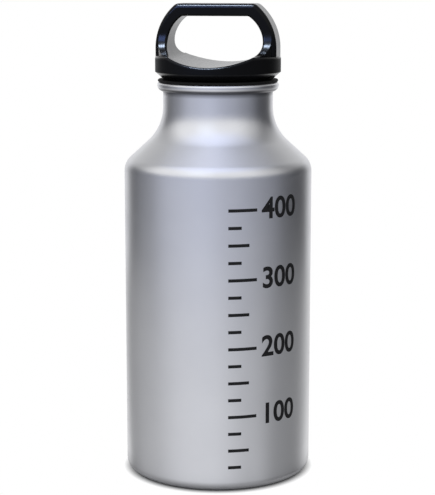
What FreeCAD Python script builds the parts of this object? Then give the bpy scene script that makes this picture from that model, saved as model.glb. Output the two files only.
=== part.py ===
import FreeCAD, Part
import math
import os
import Sketcher

# Camping fuel bottle: a one-piece drawn aluminium vessel, closed by a screw plug with a carrying loop.
# Millimetres, +Z up, origin on the floor under the middle of the base, carrying loop along X.

DIMENSIONS = [
    ("body_radius", 36.0, "outside of the straight wall"),
    ("body_wall", 1.0, "thickness of the straight wall and of the shoulder"),
    ("body_height", 117.8, "floor to the top of the straight wall"),
    ("base_corner", 4.0, "outside rounding between wall and foot"),
    ("foot_width", 4.0, "flat ring that the bottle stands on"),
    ("base_rise", 5.0, "hollow under the base, at its middle"),
    ("base_wall", 1.5, "thickness of the base"),
    ("shoulder_round", 7.0, "convex rounding at the top of the wall"),
    ("throat_round", 18.0, "concave rounding at the foot of the neck"),
    ("shoulder_lean", 47.7, "degrees that the shoulder's cone leans from upright"),
    ("neck_radius", 21.0, "outside of the neck"),
    ("neck_wall", 2.0, "thickness of the neck at the roots of its thread"),
    ("neck_length", 5.7, "plain neck below the bead"),
    ("bead_overhang", 2.2, "how far the rolled bead stands out from the neck"),
    ("bead_height", 3.6, "underside of the bead to the mouth"),
    ("bead_corner", 1.2, "rounding at the bead's upper edge"),
    ("mouth_chamfer", 0.6, "lead-in at the mouth"),
    ("gasket_thickness", 1.0, "flat gasket between bead and cap"),
    ("gasket_inset", 0.2, "gasket's edge inside the bead's edge"),
    ("gasket_clearance", 0.2, "gasket's bore to the plug's land"),
    ("land_clearance", 0.4, "plug's plain land to the bore of the neck"),
    ("land_length", 2.2, "plug's plain land below the mouth"),
    ("thread_room", 1.5, "bore of the neck to the plug's core, filled by the threads"),
    ("plug_depth", 14.0, "mouth to the plug's lower end"),
    ("plug_wall", 3.0, "thickness of the hollow plug"),
    ("plug_roof", 2.0, "thickness over the plug's hollow"),
    ("plug_lead", 1.2, "taper at the plug's lower end"),
    ("vent_width", 5.0, "pressure slot down the plug's side"),
    ("vent_depth", 1.2, "depth of that slot"),
    ("spigot_step", 2.6, "plug's land to the spigot that enters the drum"),
    ("spigot_height", 3.0, "how far the spigot enters the drum"),
    ("spigot_fit", 0.05, "spigot to its socket, all round"),
    ("key_width", 4.0, "keys that lock the plug to the drum"),
    ("key_depth", 1.2, "how far the keys stand out from the spigot"),
    ("waist_inset", 2.4, "drum's lower edge inside the bead's edge"),
    ("drum_overhang", 0.8, "drum's wall outside the bead's edge"),
    ("drum_taper", 2.8, "height of the drum's tapered underside"),
    ("drum_height", 9.0, "gasket to the drum's upper face"),
    ("drum_round", 1.2, "rounding of the drum's upper edge"),
    ("loop_height", 19.5, "drum's upper face to the top of the loop"),
    ("loop_inset", 0.7, "loop's outer side inside the drum's wall"),
    ("loop_depth", 12.8, "loop from front to back"),
    ("loop_band", 5.0, "loop's sides, in the front view"),
    ("loop_bar", 4.7, "loop's top bar, in the front view"),
    ("loop_spring", 2.7, "drum's upper face to where the loop's sides start to lean in"),
    ("loop_shoulder", 8.2, "how far the loop leans in at its top"),
    ("loop_corner", 3.0, "rounding of the loop's upper corners"),
    ("loop_edge", 1.7, "rounding along the loop's outer edges"),
    ("flare_share", 0.92, "hollow curve from the loop's faces, as a share of the drum's flat top"),
    ("opening_rise", 4.4, "drum's upper face to where the opening is widest"),
    ("opening_shoulder", 5.6, "how far the opening leans in at its top"),
    ("opening_corner", 1.5, "rounding of the opening's upper corners"),
    ("opening_edge", 0.9, "rounding along the opening's edges"),
    ("opening_edge_share", 0.75, "most of the drum's own rounding that the opening's may take"),
    ("saddle_drop", 3.6, "how far the opening dips below the drum's upper face"),
    ("saddle_round_share", 0.68, "rounding of the dip's ends, as a share of the opening's lower half"),
    ("overrun", 2.0, "how far cuts run past what they cut"),
    ("contact_gap", 0.001, "distance that counts as touching"),
]
KEYS = 4
VENTS = 2
FULL_TURN = 360
SAMPLE_SHARES = (0.3, 0.7)

doc = FreeCAD.newDocument("fuel_bottle")
sheet = doc.addObject("Spreadsheet::Sheet", "size")
for row, (alias, value, meaning) in enumerate(DIMENSIONS, start=1):
    sheet.set(f"A{row}", alias)
    sheet.set(f"B{row}", str(value))
    sheet.set(f"C{row}", meaning)
    sheet.setAlias(f"B{row}", alias)
doc.recompute()


# Formulas that several pieces share, over the names in the sheet

def upright_arc(run, rise):
    """Radius of an arc that starts upright and ends `run` to the side and `rise` higher."""
    return f"((({run})^2 + ({rise})^2) / (2 * ({run})))"


def bottle_wall(radius, neck, first_round, second_round):
    """Corners of the S-shaped shoulder, from the top of the straight wall to the foot of the neck."""
    start = "size.body_height"
    lean = "size.shoulder_lean"
    run = f"({radius} - {neck} - ({first_round} + {second_round}) * (1 - cos({lean})))"
    end = f"({start} + ({first_round} + {second_round}) * sin({lean}) + {run} / tan({lean}))"
    return [
        (radius, start),
        (f"{radius} - {first_round} * (1 - cos({lean}))", f"{start} + {first_round} * sin({lean})"),
        (f"{neck} + {second_round} * (1 - cos({lean}))", f"{end} - {second_round} * sin({lean})"),
        (neck, end),
    ]


OUTER_WALL = bottle_wall("size.body_radius", "size.neck_radius", "size.shoulder_round", "size.throat_round")
BEAD_START = f"({OUTER_WALL[-1][1]} + size.neck_length)"
MOUTH = f"({BEAD_START} + size.bead_height)"
BORE = "(size.neck_radius - size.neck_wall)"
BEAD = "(size.neck_radius + size.bead_overhang)"
LAND = f"({BORE} - size.land_clearance)"
CORE = f"({BORE} - size.thread_room)"
SPIGOT = f"({LAND} - size.spigot_step)"
DRUM = f"({BEAD} + size.drum_overhang)"

# Heights of the cap's pieces, counted from the mouth of the bottle
SEAT = "size.gasket_thickness"
DRUM_TOP = "(size.gasket_thickness + size.drum_height)"
LOOP_TOP = f"({DRUM_TOP} + size.loop_height)"
SPIGOT_TOP = f"({SEAT} + size.spigot_height)"


# Sketches and features

def new_body(label, above_floor="0"):
    """An empty body, lifted above the floor by a formula."""
    body = doc.addObject("PartDesign::Body", label)
    body.Label = label
    body.setExpression("Placement.Base.z", above_floor)
    return body


def origin_plane(body, role):
    return next(plane for plane in body.Origin.OriginFeatures if plane.Role == role)


def new_sketch(body, name, role, lift="0"):
    """A sketch on one of the body's own planes, or lifted from it by a formula."""
    sketch = body.newObject("Sketcher::SketchObject", name)
    sketch.AttachmentSupport = [(origin_plane(body, role), "")]
    sketch.MapMode = "FlatFace"
    sketch.setExpression("AttachmentOffset.Base.z", lift)
    return sketch


def arc_between(start, end, radius, turn):
    """Arc of under a half circle from start to end that turns left (+1) or right (-1)."""
    chord = end - start
    left = FreeCAD.Vector(-chord.y, chord.x, 0).normalize()
    reach = math.sqrt(max(radius**2 - (chord.Length / 2) ** 2, 0))
    centre = (start + end) / 2 + left * reach * turn
    angles = [math.atan2(point.y - centre.y, point.x - centre.x) for point in (start, end)]
    first, last = angles if turn > 0 else reversed(angles)
    return Part.ArcOfCircle(Part.Circle(centre, FreeCAD.Vector(0, 0, 1), radius), first, last)


def bind(sketch, kind, references, formula, name):
    """A dimension of the sketch, driven by a formula."""
    constraint = Sketcher.Constraint(kind, *references, sketch.evalExpression(formula))
    sketch.renameConstraint(sketch.addConstraint(constraint), name)
    sketch.setExpression(f"Constraints.{name}", formula)


def draw(sketch, corners, arcs=None, tag="outline"):
    """A closed outline through (across, up) formulas; arcs maps an edge to its (radius, turn)."""
    arcs = arcs or {}
    places = [FreeCAD.Vector(*[sketch.evalExpression(formula) for formula in pair]) for pair in corners]
    ends = []
    for number, start in enumerate(places):
        end = places[(number + 1) % len(places)]
        if number in arcs:
            radius, turn = arcs[number]
            edge = sketch.addGeometry(arc_between(start, end, sketch.evalExpression(radius), turn))
            ends.append((edge, 1, 2) if turn > 0 else (edge, 2, 1))
        else:
            edge = sketch.addGeometry(Part.LineSegment(start, end))
            ends.append((edge, 1, 2))
    for number, (edge, first, last) in enumerate(ends):
        following, following_first, _ = ends[(number + 1) % len(ends)]
        sketch.addConstraint(Sketcher.Constraint("Coincident", edge, last, following, following_first))
        across, up = corners[number]
        bind(sketch, "DistanceX", (-1, 1, edge, first), across, f"{tag}_across_{number}")
        bind(sketch, "DistanceY", (-1, 1, edge, first), up, f"{tag}_up_{number}")
        if number in arcs:
            bind(sketch, "Radius", (edge,), arcs[number][0], f"{tag}_radius_{number}")


def turned(body, name, corners, arcs=None, kind="PartDesign::Revolution"):
    """A profile turned about the bottle's axis, added or (Groove) cut away."""
    sketch = new_sketch(body, f"{name}_profile", "XZ_Plane")
    draw(sketch, corners, arcs)
    feature = body.newObject(kind, name)
    feature.Profile = sketch
    feature.ReferenceAxis = (sketch, ["V_Axis"])
    doc.recompute()
    return feature


def extruded(body, name, sketch, length, kind="PartDesign::Pad", both_ways=True):
    """A sketch pushed through a length, added or (Pocket) cut away."""
    feature = body.newObject(kind, name)
    feature.Profile = sketch
    feature.SideType = "Symmetric" if both_ways else "One side"
    feature.setExpression("Length", length)
    doc.recompute()
    return feature


def around_axis(body, name, original, count):
    """Copies of a feature, evenly spaced round the bottle's axis."""
    pattern = body.newObject("PartDesign::PolarPattern", name)
    pattern.Originals = [original]
    pattern.Axis = (original.Profile[0], ["N_Axis"])
    pattern.Angle = FULL_TURN
    pattern.Occurrences = count
    body.Tip = pattern
    doc.recompute()
    return pattern


def rounded(body, name, radius, outline):
    """Rounds the edges where walls pushed from an outline meet the body's other faces."""
    base = body.Tip
    contact_gap = sheet.evalExpression("size.contact_gap")

    def on_outline(point):
        flat = Part.Vertex(FreeCAD.Vector(point.x, 0, point.z))
        return flat.distToShape(outline.Shape)[0] < contact_gap

    def is_wall(face):
        low_u, high_u, low_v, high_v = face.ParameterRange
        middle_v = (low_v + high_v) / 2
        samples = [face.valueAt(low_u + (high_u - low_u) * share, middle_v) for share in SAMPLE_SHARES]
        return all(on_outline(point) for point in samples)

    walls = [face for face in base.Shape.Faces if is_wall(face)]
    edges = []
    for number, edge in enumerate(base.Shape.Edges, start=1):
        sides = base.Shape.ancestorsOfType(edge, Part.Face)
        if sum(any(side.isSame(wall) for wall in walls) for side in sides) == 1:
            edges.append(f"Edge{number}")
    fillet = body.newObject("PartDesign::Fillet", name)
    fillet.Base = (base, edges)
    fillet.setExpression("Radius", radius)
    doc.recompute()
    return fillet


def mirrored_outline(half):
    """The corners of one side, from the middle's top down, and the same on the other side."""
    return half + [(f"-({across})", up) for across, up in reversed(half)]


def make_bottle_shell():
    """Vessel: hollow base, straight wall, S-shaped shoulder, neck and rolled bead, drawn from one blank."""
    body = new_body("bottle_shell")
    foot_out = "(size.body_radius - size.base_corner)"
    foot_in = f"({foot_out} - size.foot_width)"
    dome = f"((({foot_in})^2 + size.base_rise^2) / (2 * size.base_rise))"
    bead_run = "(size.bead_height - size.bead_corner)"
    outside = [
        ("0", "size.base_rise"),
        (foot_in, "0"),
        (foot_out, "0"),
        ("size.body_radius", "size.base_corner"),
        *OUTER_WALL,
        ("size.neck_radius", BEAD_START),
        (BEAD, f"{BEAD_START} + {bead_run}"),
        (f"{BEAD} - size.bead_corner", MOUTH),
        ("0", MOUTH),
    ]
    outside_arcs = {
        0: (dome, -1),
        2: ("size.base_corner", 1),
        4: ("size.shoulder_round", 1),
        6: ("size.throat_round", -1),
        8: (upright_arc("size.bead_overhang", bead_run), 1),
        9: ("size.bead_corner", 1),
    }
    turned(body, "outside", outside, outside_arcs)
    inner = "(size.body_radius - size.body_wall)"
    inner_rounds = ("(size.shoulder_round - size.body_wall)", "(size.throat_round + size.neck_wall)")
    corner_run = "(size.base_corner - size.body_wall)"
    corner_rise = "(size.base_corner - size.base_wall)"
    cavity = [
        ("0", "size.base_rise + size.base_wall"),
        (foot_in, "size.base_wall"),
        (foot_out, "size.base_wall"),
        (inner, "size.base_corner"),
        *bottle_wall(inner, BORE, *inner_rounds),
        (BORE, f"{MOUTH} - size.mouth_chamfer"),
        (f"{BORE} + size.mouth_chamfer", MOUTH),
        (f"{BORE} + size.mouth_chamfer", f"{MOUTH} + size.overrun"),
        ("0", f"{MOUTH} + size.overrun"),
    ]
    cavity_arcs = {
        0: (dome, -1),
        2: (upright_arc(corner_run, corner_rise), 1),
        4: (inner_rounds[0], 1),
        6: (inner_rounds[1], -1),
    }
    turned(body, "cavity", cavity, cavity_arcs, "PartDesign::Groove")
    return body


def make_seal_gasket():
    """Flat ring on the bead, round the plug's land, with a rounded outer edge."""
    body = new_body("seal_gasket", MOUTH)
    bore = f"({LAND} + size.gasket_clearance)"
    half = "(size.gasket_thickness / 2)"
    edge = f"({BEAD} - size.gasket_inset - {half})"
    ring = [
        (bore, "0"),
        (edge, "0"),
        (f"{edge} + {half}", half),
        (edge, "size.gasket_thickness"),
        (bore, "size.gasket_thickness"),
    ]
    turned(body, "ring", ring, {1: (half, 1), 2: (half, 1)})
    return body


def key_outline(sketch, inner, outer, width):
    """A rectangle across the X axis, from an inner to an outer radius."""
    draw(sketch, [
        (inner, f"-{width} / 2"),
        (outer, f"-{width} / 2"),
        (outer, f"{width} / 2"),
        (inner, f"{width} / 2"),
    ])


def make_cap_plug():
    """Hollow stopper: spigot with keys above, plain land in the mouth, threaded core with vents below."""
    body = new_body("cap_plug", MOUTH)
    hollow = f"({CORE} - size.plug_wall)"
    turned(body, "stopper", [
        ("0", SPIGOT_TOP),
        ("0", f"{SPIGOT_TOP} - size.plug_roof"),
        (hollow, f"{SPIGOT_TOP} - size.plug_roof"),
        (hollow, "-size.plug_depth"),
        (f"{CORE} - size.plug_lead", "-size.plug_depth"),
        (CORE, "size.plug_lead - size.plug_depth"),
        (CORE, "-size.land_length"),
        (LAND, "-size.land_length"),
        (LAND, SEAT),
        (SPIGOT, SEAT),
        (SPIGOT, SPIGOT_TOP),
    ])
    key_sketch = new_sketch(body, "key_profile", "XY_Plane", SEAT)
    key_outline(key_sketch, f"({SPIGOT} + {hollow}) / 2", f"{SPIGOT} + size.key_depth", "size.key_width")
    key = extruded(body, "key", key_sketch, "size.spigot_height", both_ways=False)
    around_axis(body, "keys", key, KEYS)
    vent_sketch = new_sketch(body, "vent_profile", "XY_Plane", "-size.land_length")
    key_outline(vent_sketch, f"{CORE} - size.vent_depth", f"{CORE} + size.overrun", "size.vent_width")
    vent = extruded(body, "vent", vent_sketch, "size.plug_depth - size.land_length",
                    "PartDesign::Pocket", both_ways=False)
    around_axis(body, "vents", vent, VENTS)
    return body


def leaning_side(half_width, spring, top, shoulder, corner):
    """Top corner and leaning side of the loop or its opening: corners and the arcs between them."""
    rise = f"({top} - {spring})"
    radius = upright_arc(shoulder, rise)
    lift = f"({rise} - {corner})"
    reach = f"sqrt(({radius} - {corner})^2 - {lift}^2)"
    scale = f"({radius} / ({radius} - {corner}))"
    corners = [
        (f"{half_width} - {radius} + {reach}", top),
        (f"{half_width} - {radius} + {reach} * {scale}", f"{spring} + {lift} * {scale}"),
        (half_width, spring),
    ]
    return corners, [(corner, -1), (radius, -1)]


def make_cap_handle():
    """Drum and carrying loop in one moulding: flat-topped arch, hollow flares, saddle under the opening."""
    body = new_body("cap_handle", MOUTH)
    half_width = f"({DRUM} - size.loop_inset)"
    root = f"({SEAT} + size.drum_taper)"

    side, bends = leaning_side(half_width, f"({DRUM_TOP} + size.loop_spring)", LOOP_TOP,
                               "size.loop_shoulder", "size.loop_corner")
    arch_sketch = new_sketch(body, "arch_outline", "XZ_Plane")
    corners = mirrored_outline(side + [(half_width, root)])
    draw(arch_sketch, corners, {0: bends[0], 1: bends[1], 5: bends[1], 6: bends[0]})
    extruded(body, "arch", arch_sketch, "size.loop_depth")
    rounded(body, "arch_edges", "size.loop_edge", arch_sketch)

    turned(body, "drum", [
        ("0", SEAT),
        (f"{BEAD} - size.waist_inset", SEAT),
        (DRUM, root),
        (DRUM, f"{DRUM_TOP} - size.drum_round"),
        (f"{DRUM} - size.drum_round", DRUM_TOP),
        ("0", DRUM_TOP),
    ], {3: ("size.drum_round", 1)})

    opening = f"({half_width} - size.loop_band)"
    dip = "(size.opening_rise + size.saddle_drop)"
    small = f"(size.saddle_round_share * {dip})"
    inset = f"({opening} - {small})"
    opening_foot = f"({inset} + sqrt({small}^2 - size.opening_rise^2))"
    face = "(size.loop_depth / 2)"
    rim = f"({DRUM} - size.drum_round)"
    flare = f"(size.flare_share * (sqrt({rim}^2 - {opening_foot}^2) - {face}))"
    flare_sketch = new_sketch(body, "flare_profile", "YZ_Plane")
    flare_half = [(face, f"{DRUM_TOP} + {flare}"), (f"{face} + {flare}", DRUM_TOP)]
    draw(flare_sketch, mirrored_outline(flare_half), {0: (flare, 1), 2: (flare, 1)})
    extruded(body, "flares", flare_sketch, f"2 * ({half_width} - size.loop_edge)")

    trim_sketch = new_sketch(body, "flare_trim_outline", "XY_Plane", f"{DRUM_TOP} + {flare}")
    reach = f"({DRUM} + size.overrun)"
    for sign, turn, tag in (("", -1, "back"), ("-", 1, "front")):
        draw(trim_sketch, [
            (f"-sqrt({rim}^2 - {face}^2)", f"{sign}{face}"),
            (f"sqrt({rim}^2 - {face}^2)", f"{sign}{face}"),
            (reach, f"{sign}{face}"),
            (reach, f"{sign}{reach}"),
            (f"-{reach}", f"{sign}{reach}"),
            (f"-{reach}", f"{sign}{face}"),
        ], {0: (rim, turn)}, tag)
    extruded(body, "flare_trim", trim_sketch, flare, "PartDesign::Pocket", both_ways=False)

    widest = f"({DRUM_TOP} + size.opening_rise)"
    side, bends = leaning_side(opening, widest, f"({LOOP_TOP} - size.loop_bar)",
                               "size.opening_shoulder", "size.opening_corner")
    large = f"(({inset}^2 + {dip}^2 - {small}^2) / (2 * ({dip} - {small})))"
    scale = f"({large} / ({large} - {small}))"
    seam = (f"{inset} * {scale}", f"{widest} - {dip} + {large} - ({large} - {dip}) * {scale}")
    opening_sketch = new_sketch(body, "opening_outline", "XZ_Plane")
    draw(opening_sketch, mirrored_outline(side + [seam]), {
        0: bends[0], 1: bends[1], 2: (small, -1), 3: (large, -1), 4: (small, -1), 5: bends[1], 6: bends[0],
    })
    extruded(body, "finger_opening", opening_sketch, f"2 * {reach}", "PartDesign::Pocket")
    rounded(body, "opening_edges", "min(size.opening_edge, size.opening_edge_share * size.drum_round)",
            opening_sketch)

    socket = f"({SPIGOT} + size.spigot_fit)"
    socket_roof = f"({SPIGOT_TOP} + size.spigot_fit)"
    turned(body, "plug_socket", [
        ("0", f"{SEAT} - size.overrun"),
        (socket, f"{SEAT} - size.overrun"),
        (socket, socket_roof),
        ("0", socket_roof),
    ], kind="PartDesign::Groove")
    slot_sketch = new_sketch(body, "key_slot_profile", "XY_Plane", socket_roof)
    key_outline(slot_sketch, f"{SPIGOT} / 2", f"{SPIGOT} + size.key_depth + size.spigot_fit",
                "(size.key_width + 2 * size.spigot_fit)")
    slot = extruded(body, "key_slot", slot_sketch, f"{socket_roof} - {SEAT} + size.overrun",
                    "PartDesign::Pocket", both_ways=False)
    around_axis(body, "key_slots", slot, KEYS)
    return body


pieces = [make_bottle_shell(), make_seal_gasket(), make_cap_plug(), make_cap_handle()]
doc.recompute()
for item in doc.Objects:
    if "Invalid" in item.State or "Error" in item.State:
        raise RuntimeError(f"{item.Label} did not compute: {item.State}")
for piece in pieces:
    if piece.Shape.isNull() or not piece.Shape.isValid():
        raise RuntimeError(f"{piece.Label} has no valid shape")
os.makedirs("parts", exist_ok=True)
for piece in pieces:
    piece.Shape.exportStep(f"parts/{piece.Label}.step")
    box = piece.Shape.optimalBoundingBox(False, False)
    print(f"{piece.Label}: {piece.Shape.Volume:.0f} mm3, z {box.ZMin:.2f} to {box.ZMax:.2f}, "
          f"{box.XLength:.2f} x {box.YLength:.2f}, {len(piece.Shape.Solids)} solid")
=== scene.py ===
# %% [markdown]
# # A camping fuel bottle
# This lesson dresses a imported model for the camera: a drawn aluminium bottle, a flat gasket, and a
# black screw cap whose drum carries a fixed loop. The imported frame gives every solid, body and joint,
# so each piece below is made in its final place, in metres, and only has to ride on the right body.

# %% Load the frame
import math

import bmesh
import bpy
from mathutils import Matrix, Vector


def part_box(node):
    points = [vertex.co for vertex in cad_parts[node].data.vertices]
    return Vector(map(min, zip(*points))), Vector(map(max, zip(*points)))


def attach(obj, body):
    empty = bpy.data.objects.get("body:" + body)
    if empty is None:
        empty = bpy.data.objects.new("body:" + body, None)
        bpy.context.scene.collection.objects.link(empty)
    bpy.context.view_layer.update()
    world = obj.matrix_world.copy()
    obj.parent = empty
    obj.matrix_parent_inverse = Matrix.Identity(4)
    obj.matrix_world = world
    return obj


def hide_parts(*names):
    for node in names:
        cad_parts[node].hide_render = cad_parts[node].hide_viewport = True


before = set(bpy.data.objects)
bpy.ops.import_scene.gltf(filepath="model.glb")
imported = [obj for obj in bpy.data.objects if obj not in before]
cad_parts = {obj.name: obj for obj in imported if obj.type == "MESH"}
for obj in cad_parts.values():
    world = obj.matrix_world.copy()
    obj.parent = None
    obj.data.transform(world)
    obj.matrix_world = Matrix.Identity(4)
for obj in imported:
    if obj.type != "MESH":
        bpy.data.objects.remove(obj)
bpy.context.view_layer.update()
MM = 0.001

# %% [markdown]
# ## Camera
# The photograph looks slightly down on the bottle, from a little above the cap. The straight wall
# narrows towards the foot, and the rings of base, bead and drum open by different amounts. Those two
# facts fix the height, the pitch and the distance. The loop is turned a little to the right, so the
# camera stands that angle to the side of the bottle's front.

# %% Camera
IMAGE_WIDTH = 435
AXIS_PIXEL = 218
FOCAL_PIXELS = 1536
SENSOR_WIDTH_MM = 36
CAMERA_DISTANCE = 589 * MM
CAMERA_HEIGHT = 191.5 * MM
CAMERA_TURN = math.radians(11)
CAMERA_PITCH = math.radians(10.03)


def around(angle, radius, height):
    """A place round the bottle's axis; the angle counts from the front, towards the right."""
    return (radius * math.sin(angle), -radius * math.cos(angle), height)


def link(thing):
    """Puts an object into the scene and returns it."""
    bpy.context.scene.collection.objects.link(thing)
    return thing


camera = link(bpy.data.objects.new("camera", bpy.data.cameras.new("camera")))
camera.location = around(CAMERA_TURN, CAMERA_DISTANCE, CAMERA_HEIGHT)
camera.rotation_euler = (math.pi / 2 - CAMERA_PITCH, 0, CAMERA_TURN)
camera.data.sensor_fit = "HORIZONTAL"
camera.data.sensor_width = SENSOR_WIDTH_MM
camera.data.lens = FOCAL_PIXELS * SENSOR_WIDTH_MM / IMAGE_WIDTH
camera.data.shift_x = (IMAGE_WIDTH / 2 - AXIS_PIXEL) / IMAGE_WIDTH
bpy.context.scene.camera = camera
print(f"lens {camera.data.lens:.1f} mm, {CAMERA_DISTANCE:.3f} m away, {CAMERA_HEIGHT:.4f} m up")

# %% [markdown]
# ## Node helpers
# Shaders and Geometry Nodes are both built by script here. Four small helpers keep that readable: one
# adds a node, sets its options and fills or links its inputs; one adds a maths node and returns its
# result; one moves a value from one range to another; and one gives a group its named sockets.

# %% Node helpers


def put(tree, kind, inputs=None, **options):
    """Adds a node; inputs are given by name or number, as a value or as another node's output."""
    node = tree.nodes.new(kind)
    for name, value in options.items():
        setattr(node, name, value)
    for key, value in (inputs or {}).items():
        if isinstance(value, bpy.types.NodeSocket):
            tree.links.new(value, node.inputs[key])
        else:
            node.inputs[key].default_value = value
    return node


def maths(tree, operation, *values):
    """The result of a maths node, such as ADD or SINE."""
    return put(tree, "ShaderNodeMath", dict(enumerate(values)), operation=operation).outputs[0]


def remap(tree, value, low, high, to_low, to_high):
    """A value moved from one range to another, and kept inside it."""
    return put(tree, "ShaderNodeMapRange", {"Value": value, "From Min": low, "From Max": high,
                                            "To Min": to_low, "To Max": to_high}).outputs["Result"]


def sockets(tree, direction, kinds):
    """Adds named sockets to a group: kinds maps a name to its type and, for inputs, a first value."""
    for name, (kind, value) in kinds.items():
        socket = tree.interface.new_socket(name, in_out=direction, socket_type=f"NodeSocket{kind}")
        if value is not None:
            socket.default_value = value


print("node helpers for Blender", bpy.app.version_string)

# %% [markdown]
# ## Grain
# Blasted metal, moulded plastic and rubber all have a fine grain with slow, cloudy changes across it.
# Both come from noise, which is made once in a shader group and placed in every finish with its own
# size. The noise reads Object coordinates, so the pattern stays on the piece when it moves.

# %% Grain
NOISE_LOW, NOISE_HIGH = 0.3, 0.7


def grain_group():
    """Fine grain and slow clouds, both from 0 to 1."""
    group = bpy.data.node_groups.new("surface_grain", "ShaderNodeTree")
    sockets(group, "INPUT", {"Grain Size": ("Float", 0.3 * MM), "Cloud Size": ("Float", 20 * MM)})
    sockets(group, "OUTPUT", {"Grain": ("Float", None), "Cloud": ("Float", None)})
    given = put(group, "NodeGroupInput").outputs
    place = put(group, "ShaderNodeTexCoord").outputs["Object"]
    result = {}
    for name, detail in (("Grain", 2.0), ("Cloud", 4.0)):
        scale = maths(group, "DIVIDE", 1.0, given[f"{name} Size"])
        noise = put(group, "ShaderNodeTexNoise", {"Vector": place, "Scale": scale, "Detail": detail})
        result[name] = remap(group, noise.outputs["Fac"], NOISE_LOW, NOISE_HIGH, 0.0, 1.0)
    put(group, "NodeGroupOutput", result)
    return group


GRAIN = grain_group()
print("shader group:", GRAIN.name)

# %% [markdown]
# ## Handling marks
# A bottle that is carried and refilled picks up hairline scratches and finger smudges. They hardly
# change its colour, but they change how sharply it reflects, so this group gives two masks for the
# roughness. A scratch is noise that is stretched a hundredfold along a slanting line.

# %% Handling marks
SCRATCH_SLANT = math.radians(24)
SCRATCH_EDGES, SMUDGE_EDGES = (0.66, 0.74), (0.5, 0.72)


def handling_group():
    """Hairline scratches and finger smudges, both as masks from 0 to 1."""
    group = bpy.data.node_groups.new("handling_marks", "ShaderNodeTree")
    sockets(group, "INPUT", {"Scratch Length": ("Float", 30 * MM), "Scratch Width": ("Float", 0.3 * MM),
                             "Smudge Size": ("Float", 18 * MM)})
    sockets(group, "OUTPUT", {"Scratch": ("Float", None), "Smudge": ("Float", None)})
    given = put(group, "NodeGroupInput").outputs
    place = put(group, "ShaderNodeTexCoord").outputs["Object"]
    along, across, finger = (maths(group, "DIVIDE", 1.0, given[name])
                             for name in ("Scratch Length", "Scratch Width", "Smudge Size"))
    stretch = put(group, "ShaderNodeCombineXYZ", {"X": along, "Y": along, "Z": across}).outputs["Vector"]
    tilted = put(group, "ShaderNodeVectorRotate", {"Vector": place, "Angle": SCRATCH_SLANT},
                 rotation_type="Y_AXIS").outputs["Vector"]
    lines = put(group, "ShaderNodeVectorMath", {0: tilted, 1: stretch}, operation="MULTIPLY")
    hairs = put(group, "ShaderNodeTexNoise", {"Vector": lines.outputs["Vector"], "Scale": 1.0, "Detail": 1.0})
    touch = put(group, "ShaderNodeTexNoise", {"Vector": place, "Scale": finger, "Detail": 3.0})
    put(group, "NodeGroupOutput", {
        "Scratch": remap(group, hairs.outputs["Fac"], *SCRATCH_EDGES, 0.0, 1.0),
        "Smudge": remap(group, touch.outputs["Fac"], *SMUDGE_EDGES, 0.0, 1.0),
    })
    return group


HANDLING = handling_group()
print("shader group:", HANDLING.name)

# %% [markdown]
# ## A finish
# Each finish is one Principled shader. Its colour drifts between two close tones with the clouds, its
# roughness follows the grain, the smudges and the scratches, and a Bump node turns the grain into
# relief. One function makes them all. The first is the plug's plastic, left as it came from its mould.

# %% A finish


def blend(tree, factor, first, second):
    """A colour between two others, each given as three numbers or as a socket."""
    mix = put(tree, "ShaderNodeMix", {"Factor": factor}, data_type="RGBA")
    for key, tone in (("A", first), ("B", second)):
        socket = next(s for s in mix.inputs if s.name == key and s.type == "RGBA")
        if isinstance(tone, bpy.types.NodeSocket):
            tree.links.new(tone, socket)
        else:
            socket.default_value = (*tone, 1.0)
    return next(s for s in mix.outputs if s.type == "RGBA")


def finish(name, tones, roughness, spread, relief, grain_size, metallic=0.0, specular=0.5, face_shine=1.0):
    """A material with two close tones, a roughness with its spread, and a relief and grain in mm."""
    material = bpy.data.materials.new(name)
    material.use_nodes = True
    tree = material.node_tree
    shader = tree.nodes["Principled BSDF"]
    grain = put(tree, "ShaderNodeGroup", node_tree=GRAIN)
    grain.inputs["Grain Size"].default_value = grain_size * MM
    marks = put(tree, "ShaderNodeGroup", node_tree=HANDLING)
    colour = blend(tree, grain.outputs["Cloud"], *tones)
    tree.links.new(colour, shader.inputs["Base Color"])
    rough = remap(tree, grain.outputs["Grain"], 0.0, 1.0, roughness - spread, roughness + spread)
    rough = maths(tree, "MULTIPLY_ADD", marks.outputs["Smudge"], spread, rough)
    rough = maths(tree, "MULTIPLY_ADD", marks.outputs["Scratch"], 2 * spread, rough)
    tree.links.new(rough, shader.inputs["Roughness"])
    bump = put(tree, "ShaderNodeBump", {"Height": grain.outputs["Grain"], "Strength": 1.0,
                                        "Distance": relief * MM})
    tree.links.new(bump.outputs["Normal"], shader.inputs["Normal"])
    shader.inputs["Metallic"].default_value = metallic
    shader.inputs["Specular IOR Level"].default_value = specular
    shader.inputs["Specular Tint"].default_value = (face_shine, face_shine, face_shine, 1.0)
    print(f"finish {name}: roughness {roughness} +- {spread}, relief {relief} mm")
    return material


PLUG_PLASTIC = finish("moulded_plug_plastic", [(0.012, 0.012, 0.013), (0.018, 0.018, 0.019)],
                      roughness=0.38, spread=0.05, relief=0.004, grain_size=0.3, specular=0.3)

# %% [markdown]
# ## Rubber and ink
# The gasket is dull rubber, and the print is a little smoother. Both are nearly black like the plug, so
# what tells the three apart is how sharply and how strongly they reflect.

# %% Rubber and ink
SEAL_RUBBER = finish("seal_rubber", [(0.003, 0.003, 0.003), (0.005, 0.005, 0.005)],
                     roughness=0.62, spread=0.08, relief=0.006, grain_size=0.25, specular=0.15)
SCALE_INK = finish("screen_print_ink", [(0.005, 0.005, 0.006), (0.008, 0.008, 0.009)],
                   roughness=0.48, spread=0.06, relief=0.003, grain_size=0.35, specular=0.2)

# %% [markdown]
# ## A ring mask
# Two finishes change in a ring round the axis, so the ring is a shader group as well. It is found from
# the height and from the distance to the axis, which leaves the inside of a piece as it is.

# %% A ring mask


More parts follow.
